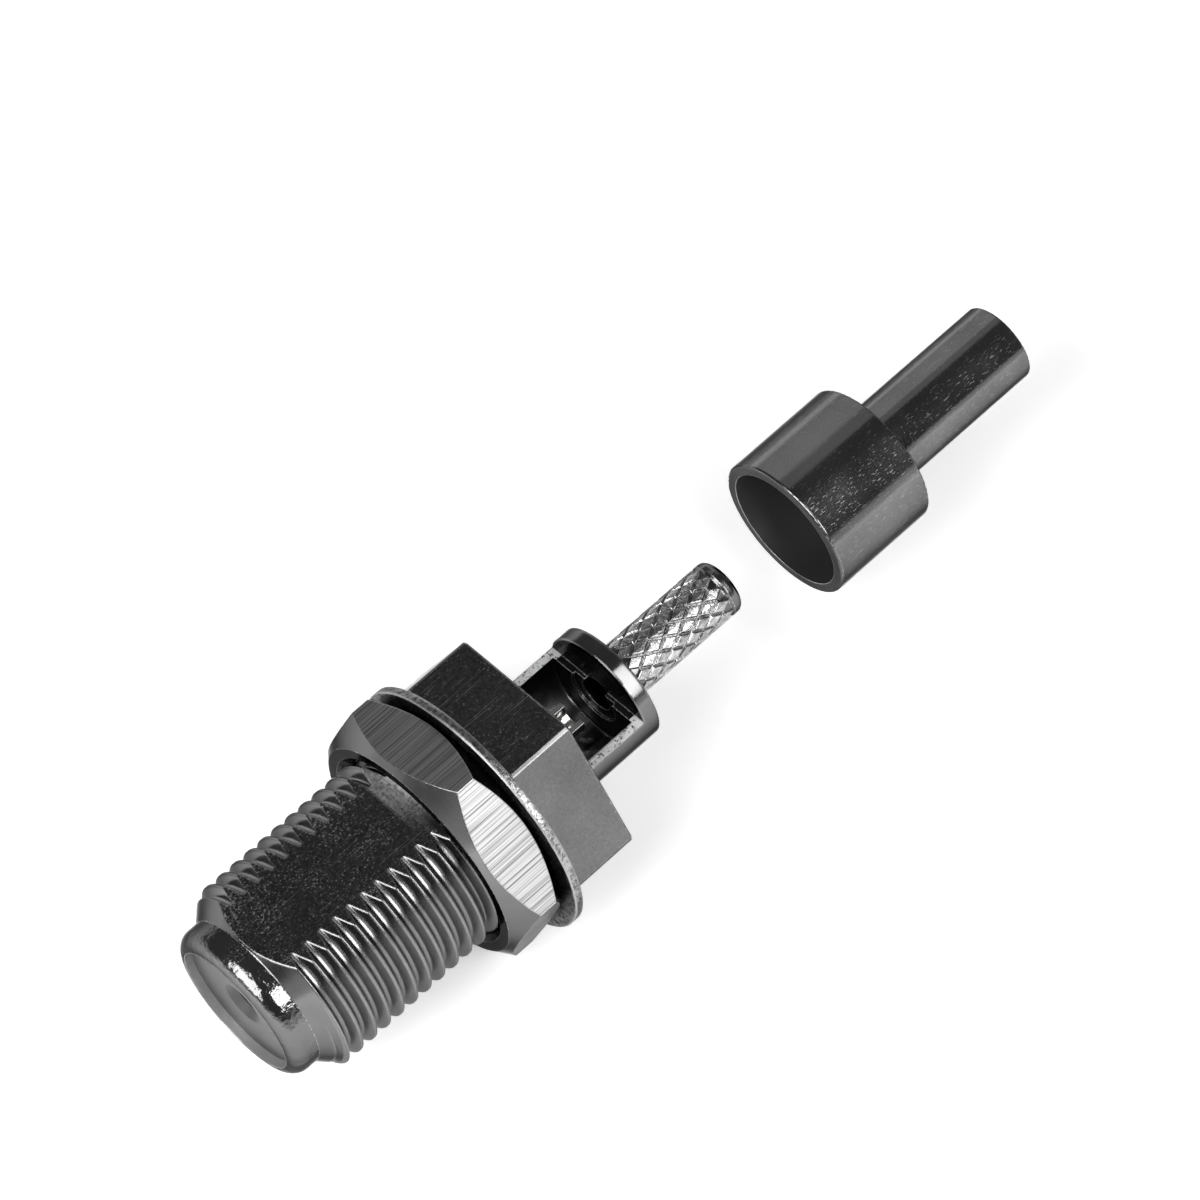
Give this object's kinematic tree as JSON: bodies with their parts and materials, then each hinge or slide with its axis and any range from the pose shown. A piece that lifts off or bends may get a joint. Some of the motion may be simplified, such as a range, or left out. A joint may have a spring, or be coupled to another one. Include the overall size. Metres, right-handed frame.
{
  "type": "f connector",
  "caption": "Threaded bulkhead jack for thin coaxial cable with a long flat, hex seat, lock washer and nut, open solder window, knurled crimp stem and a stepped ferrule drawn off in line",
  "frame": {"origin": "on the axis of the jack, in the front face of the body's hex, which seats on the panel", "axes": "+X along the axis towards the cable end, the mating nose is at -X; +Z out of the thread's flat and the solder window, +Y to the side"},
  "size_m": [0.0467, 0.0134, 0.013],
  "materials": {
    "body_plate": "nickel plate over turned brass, bright on the thread and nose, satin on the milled flat and the hex",
    "front_plastic": "moulded translucent grey-white plastic, matte",
    "bead_plastic": "turned white plastic, matte",
    "contact_plate": "tin plate over brass, bright",
    "washer_plate": "nickel plate over pressed steel, satin with bright burred rim",
    "nut_plate": "nickel plate, flats drawn along the axis, chamfers turned smooth",
    "ferrule_plate": "nickel plate over drawn tube, satin"
  },
  "bodies": {
    "jack": {"connector_body": "body_plate", "front_insulator": "front_plastic", "rear_insulator": "bead_plastic", "centre_contact": "contact_plate"},
    "washer": {"lock_washer": "washer_plate"},
    "nut": {"hex_nut": "nut_plate"},
    "ferrule": {"crimp_ferrule": "ferrule_plate"}
  },
  "joints": [
    {"name": "washer_slide", "type": "slide", "parent": "jack", "child": "washer", "axis": [-1, 0, 0], "range_m": [0, 0.0136]},
    {"name": "nut_turn", "type": "hinge", "parent": "washer", "child": "nut", "pos_m": [0, 0, 0], "axis": [-1, 0, 0], "range_deg": [0, 6180]},
    {"name": "ferrule_slide", "type": "slide", "parent": "jack", "child": "ferrule", "axis": [-1, 0, 0], "range_m": [0, 0.0154]}
  ],
  "couplings": [
    {"joint": "nut_turn", "follows": "washer_slide", "rad_per_m": 7915.8}
  ]
}
